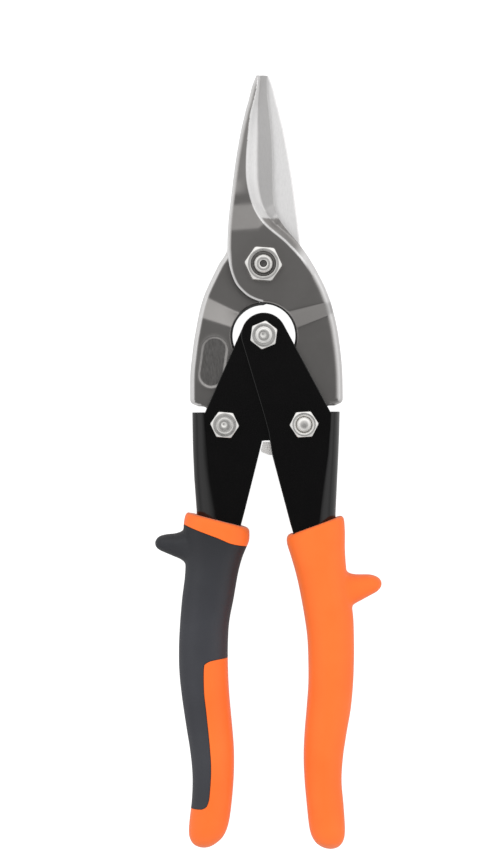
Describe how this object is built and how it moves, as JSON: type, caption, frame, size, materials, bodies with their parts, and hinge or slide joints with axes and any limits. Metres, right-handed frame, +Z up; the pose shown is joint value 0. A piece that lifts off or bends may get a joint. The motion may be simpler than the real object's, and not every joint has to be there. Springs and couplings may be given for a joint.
{
  "type": "aviation snips",
  "caption": "Compound-leverage hand shears for sheet metal: two crossed steel blades, two pressed handles linked to the blades' tails, spring, latch and moulded grips.",
  "frame": {"origin": "middle of the closed tool's outline in plan, on the plane its grips rest on; the blades' pivot is at x -1.075 mm, y 63.9 mm and the shear plane at z 9.5 mm", "axes": "+Y along the tool to the blade tips, +Z up, along the pivot axis to the nut side, +X to the right seen from the nut side"},
  "size_m": [0.0734, 0.2504, 0.0197],
  "materials": {
    "blade_steel": "forged steel, ground flat and polished along its edges",
    "plated_steel": "bright nickel plated",
    "black_steel": "gloss black oven paint",
    "spring_wire": "zinc plated music wire",
    "latch_steel": "zinc plated",
    "orange_grip": "moulded, fine satin grain",
    "dark_grip": "moulded soft overmould, matt"
  },
  "bodies": {
    "blade_pivot": {"blade_pivot_bolt": "plated_steel", "blade_pivot_nut": "plated_steel", "blade_pivot_washer": "plated_steel"},
    "front_blade": {"front_blade": "blade_steel"},
    "rear_blade": {"rear_blade": "blade_steel"},
    "right_handle": {"right_handle_frame": "black_steel", "right_link_bolt": "plated_steel", "right_link_nut": "plated_steel", "right_link_spacer": "plated_steel", "handle_pivot_bolt": "plated_steel", "handle_pivot_nut": "plated_steel", "handle_pivot_sleeve": "plated_steel", "return_spring": "spring_wire", "right_grip": "orange_grip"},
    "left_handle": {"left_handle_frame": "black_steel", "left_link_bolt": "plated_steel", "left_link_nut": "plated_steel", "left_grip_core": "orange_grip", "left_grip_cover": "dark_grip"},
    "latch": {"latch": "latch_steel"}
  },
  "joints": [
    {"name": "front_blade_pivot", "type": "hinge", "parent": "blade_pivot", "child": "front_blade", "pos_m": [-0.00108, 0.0639, 0.0095], "axis": [0, 0, 1], "range_deg": [0, 9.25]},
    {"name": "rear_blade_pivot", "type": "hinge", "parent": "blade_pivot", "child": "rear_blade", "pos_m": [-0.00108, 0.0639, 0.0095], "axis": [0, 0, 1], "range_deg": [-9.26, 0]},
    {"name": "right_link", "type": "hinge", "parent": "front_blade", "child": "right_handle", "pos_m": [0.01167, 0.0122, 0.0095], "axis": [0, 0, 1], "range_deg": [0, 8.23]},
    {"name": "handle_pivot", "type": "hinge", "parent": "right_handle", "child": "left_handle", "pos_m": [-0.00108, 0.041, 0.0095], "axis": [0, 0, 1], "range_deg": [-35, 0], "deforming": ["return_spring"]},
    {"name": "latch_pivot", "type": "hinge", "parent": "right_handle", "child": "latch", "pos_m": [0.01167, 0.0122, 0.013], "axis": [0, 0, 1], "range_deg": [0, 12]}
  ],
  "couplings": [
    {"joint": "rear_blade_pivot", "follows": "front_blade_pivot", "ratio": -1},
    {"joint": "right_link", "follows": "front_blade_pivot", "ratio": 0.888},
    {"joint": "handle_pivot", "follows": "front_blade_pivot", "ratio": -3.78}
  ]
}
